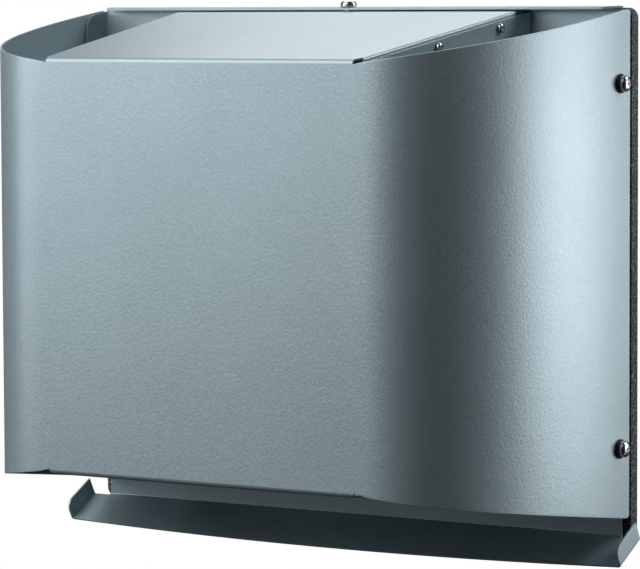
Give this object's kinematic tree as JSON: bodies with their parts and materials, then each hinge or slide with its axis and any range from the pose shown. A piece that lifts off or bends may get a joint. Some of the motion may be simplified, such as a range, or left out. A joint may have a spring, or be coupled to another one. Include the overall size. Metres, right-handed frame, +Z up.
{
  "type": "wall ventilation hood",
  "caption": "Wall hood for a ventilation duct: bent sheet cowl with open side channels, sloped lid, inner air chamber, back plate on a foam gasket, and a drip tray.",
  "frame": {"origin": "on the wall plane, on the hood's centre line, 15 mm above the lower edge of the wall gasket", "axes": "+X to the right as seen from in front, +Y into the wall, +Z up"},
  "size_m": [0.388, 0.178, 0.3259],
  "materials": {
    "silver_grey_powder_coat": "fine-textured satin powder coat, silver grey",
    "stainless_steel": "bright",
    "zinc_plated_steel": "satin",
    "sealing_foam": "matt, open-celled, speckled",
    "sealing_rubber": "matt"
  },
  "bodies": {
    "root": {"cowl": "silver_grey_powder_coat", "back_plate": "silver_grey_powder_coat", "chamber_wall_left": "silver_grey_powder_coat", "chamber_wall_right": "silver_grey_powder_coat", "drip_tray": "silver_grey_powder_coat", "duct_collar": "silver_grey_powder_coat", "wall_gasket": "sealing_foam", "top_screw": "stainless_steel", "side_screw_left_lower": "stainless_steel", "side_screw_left_upper": "stainless_steel", "side_screw_right_lower": "stainless_steel", "side_screw_right_upper": "stainless_steel", "side_washer_left_lower": "sealing_rubber", "side_washer_left_upper": "sealing_rubber", "side_washer_right_lower": "sealing_rubber", "side_washer_right_upper": "sealing_rubber", "chamber_screw_left_front": "stainless_steel", "chamber_screw_left_rear": "stainless_steel", "chamber_screw_right_front": "stainless_steel", "chamber_screw_right_rear": "stainless_steel", "collar_rivet_1": "zinc_plated_steel", "collar_rivet_2": "zinc_plated_steel", "collar_rivet_3": "zinc_plated_steel", "collar_rivet_4": "zinc_plated_steel", "tray_rivet_left": "zinc_plated_steel", "tray_rivet_middle": "zinc_plated_steel", "tray_rivet_right": "zinc_plated_steel", "wall_rivet_left_lower": "zinc_plated_steel", "wall_rivet_left_upper": "zinc_plated_steel", "wall_rivet_right_lower": "zinc_plated_steel", "wall_rivet_right_upper": "zinc_plated_steel"}
  },
  "joints": []
}
